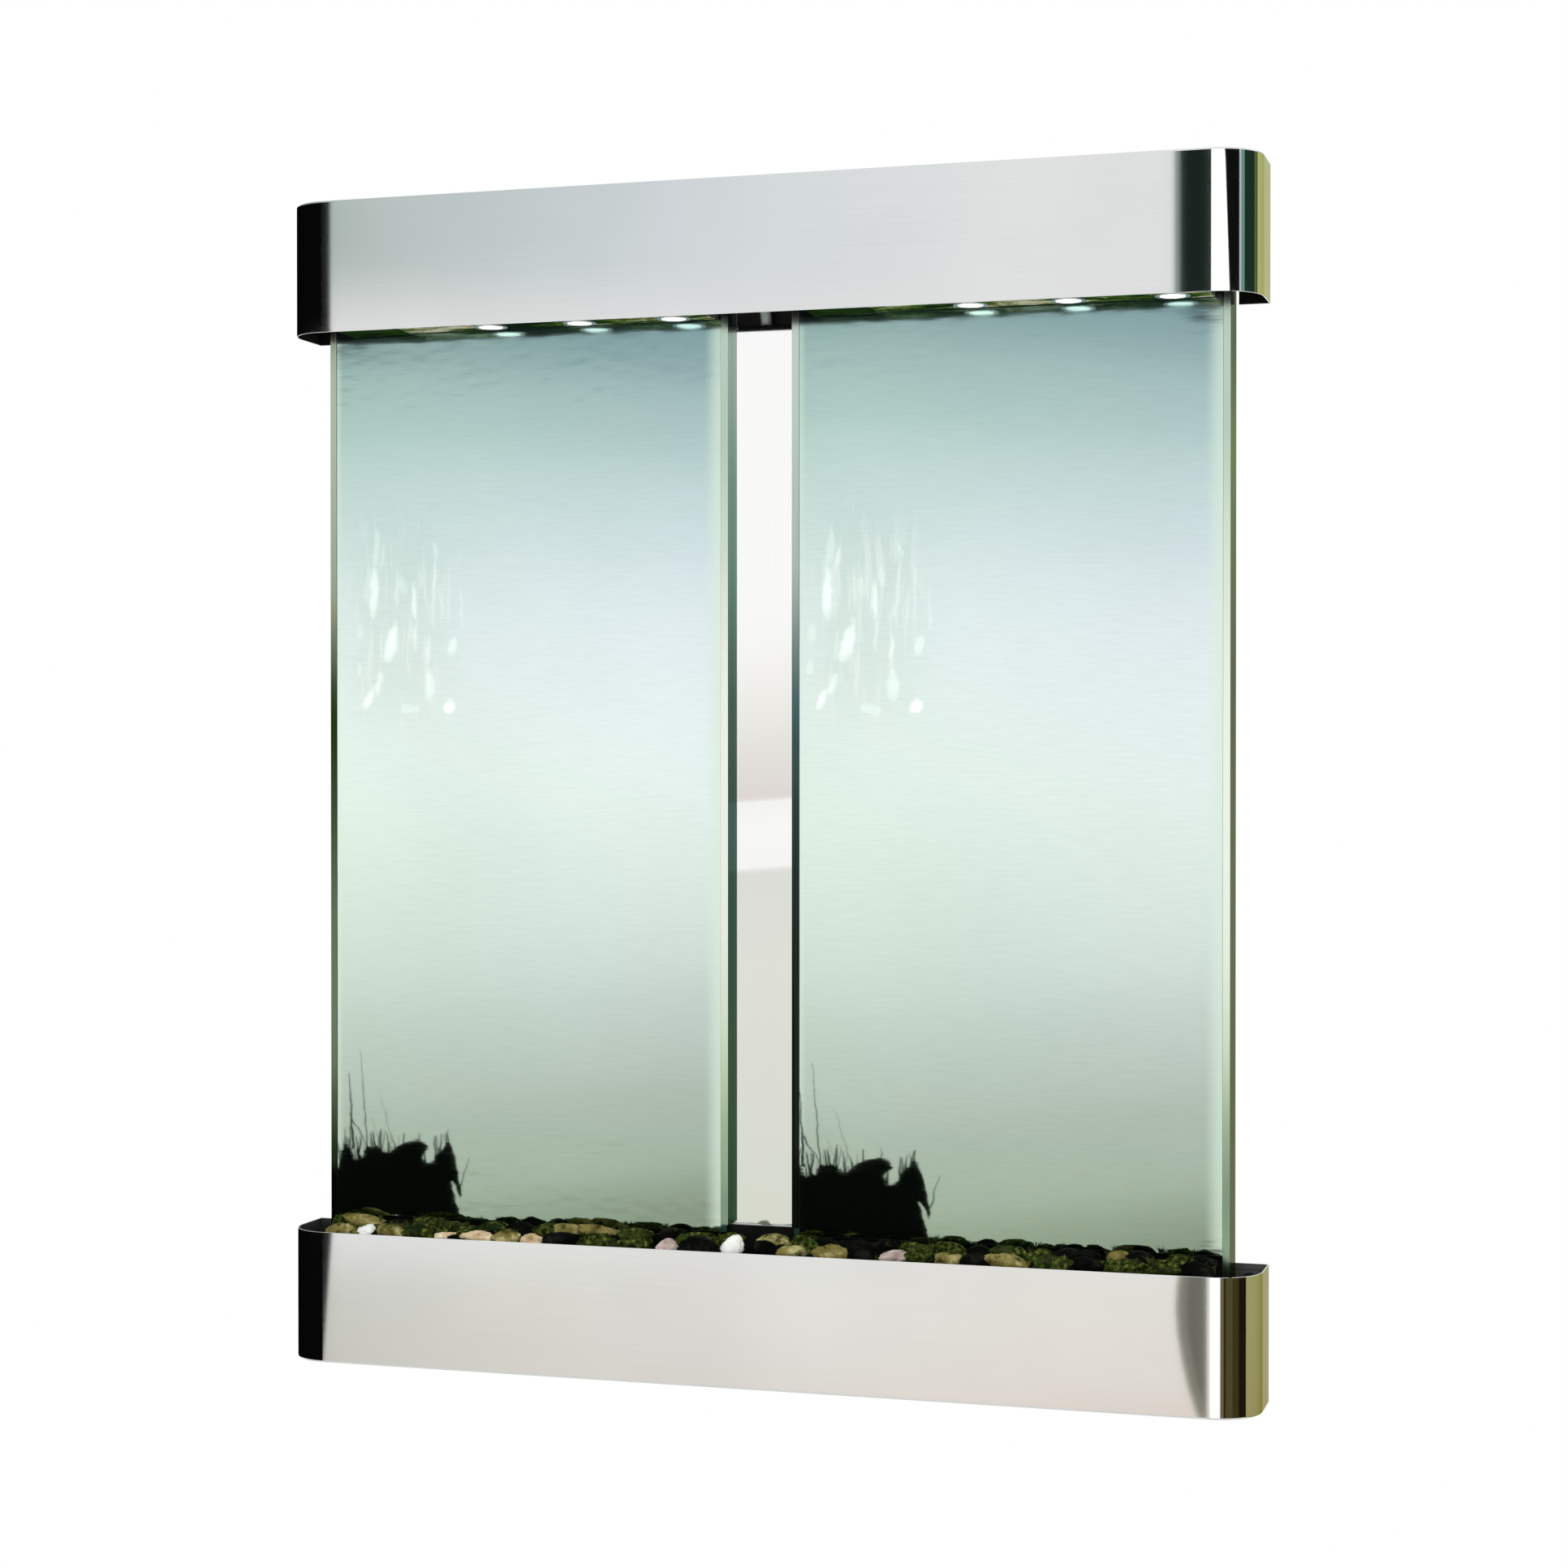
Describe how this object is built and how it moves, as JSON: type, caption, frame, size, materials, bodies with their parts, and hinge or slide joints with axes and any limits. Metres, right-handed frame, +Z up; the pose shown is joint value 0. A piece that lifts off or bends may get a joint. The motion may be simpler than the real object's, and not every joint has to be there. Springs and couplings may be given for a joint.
{
  "type": "wall water fountain",
  "caption": "Wall-hung water fountain: mirror panels side by side under a steel hood with lamps, standing in a steel tray of river stones with a pump inside.",
  "frame": {"origin": "middle of the wall cleat's back face, on the wall, where the fountain hangs", "axes": "+Z up; +X to the right for someone facing the fountain; +Y into the wall, so the front faces -Y"},
  "size_m": [1.47, 0.135, 1.753],
  "materials": {
    "steel": "fine horizontal brush, soft sheen",
    "frame_alloy": "mill finish",
    "mirror": "polished mirror glass under a film of running water",
    "backer": "matt grey board",
    "black_plastic": "matt black",
    "white_plastic": "satin white",
    "brass": "machined brass",
    "lever_grip": "dipped vinyl grip",
    "hose": "clear vinyl",
    "rubber": "matt",
    "stone": "wet river pebbles of mixed colours with some moss",
    "lamp": "frosted lamp lens in a steel can"
  },
  "bodies": {
    "fountain_frame": {"tray_shell": "steel", "centre_divider": "steel", "drip_apron": "steel", "outer_trim_left": "steel", "outer_trim_right": "steel", "inner_trim_left": "steel", "inner_trim_right": "steel", "spray_bar_left": "steel", "spray_bar_right": "steel", "light_channel_left": "steel", "light_channel_right": "steel", "bar_hanger_left_1": "steel", "bar_hanger_left_2": "steel", "bar_hanger_right_1": "steel", "bar_hanger_right_2": "steel", "wall_cleat": "frame_alloy", "frame_cleat": "frame_alloy", "top_rail": "frame_alloy", "bottom_rail": "frame_alloy", "stile_inner_left": "frame_alloy", "stile_inner_right": "frame_alloy", "stile_outer_left": "frame_alloy", "stile_outer_right": "frame_alloy", "mid_rail_left": "frame_alloy", "mid_rail_right": "frame_alloy", "tray_hanger_left": "frame_alloy", "tray_hanger_right": "frame_alloy", "hood_bracket_left": "frame_alloy", "hood_bracket_right": "frame_alloy", "mirror_panel_left": "mirror", "mirror_panel_right": "mirror", "backer_board_left": "backer", "backer_board_right": "backer", "pump_body": "black_plastic", "pump_cover": "black_plastic", "reservoir_liner": "black_plastic", "hose_guard": "black_plastic", "lamp_driver_left": "black_plastic", "lamp_driver_right": "black_plastic", "tee_fitting": "white_plastic", "valve_body_left": "brass", "valve_body_right": "brass", "riser_hose": "hose", "cable_grommet": "rubber", "wall_bumper_left": "rubber", "wall_bumper_right": "rubber", "lamp_left_1": "lamp", "lamp_left_2": "lamp", "lamp_left_3": "lamp", "lamp_right_1": "lamp", "lamp_right_2": "lamp", "lamp_right_3": "lamp"},
    "hood": {"hood_shell": "steel"},
    "valve_lever_left": {"valve_lever_left": "lever_grip"},
    "valve_lever_right": {"valve_lever_right": "lever_grip"},
    "impeller": {"impeller": "white_plastic"},
    "stone_basket_left": {"stone_shelf_left": "black_plastic", "stone_heap_left": "stone"},
    "stone_basket_right": {"stone_shelf_right": "black_plastic", "stone_heap_right": "stone"}
  },
  "joints": [
    {"name": "hood_lift", "type": "slide", "parent": "fountain_frame", "child": "hood", "axis": [0, 0, 1], "range_m": [0, 0.21]},
    {"name": "stone_basket_lift_left", "type": "slide", "parent": "fountain_frame", "child": "stone_basket_left", "axis": [0, 0, 1], "range_m": [0, 0.2]},
    {"name": "stone_basket_lift_right", "type": "slide", "parent": "fountain_frame", "child": "stone_basket_right", "axis": [0, 0, 1], "range_m": [0, 0.2]},
    {"name": "valve_turn_left", "type": "hinge", "parent": "fountain_frame", "child": "valve_lever_left", "pos_m": [-0.05, -0.085, -0.022], "axis": [0, 0, 1], "range_deg": [0, 90]},
    {"name": "valve_turn_right", "type": "hinge", "parent": "fountain_frame", "child": "valve_lever_right", "pos_m": [0.05, -0.085, -0.022], "axis": [0, 0, -1], "range_deg": [0, 90]},
    {"name": "impeller_spin", "type": "hinge", "parent": "fountain_frame", "child": "impeller", "pos_m": [0, -0.1, -1.655], "axis": [1, 0, 0], "continuous": true}
  ]
}
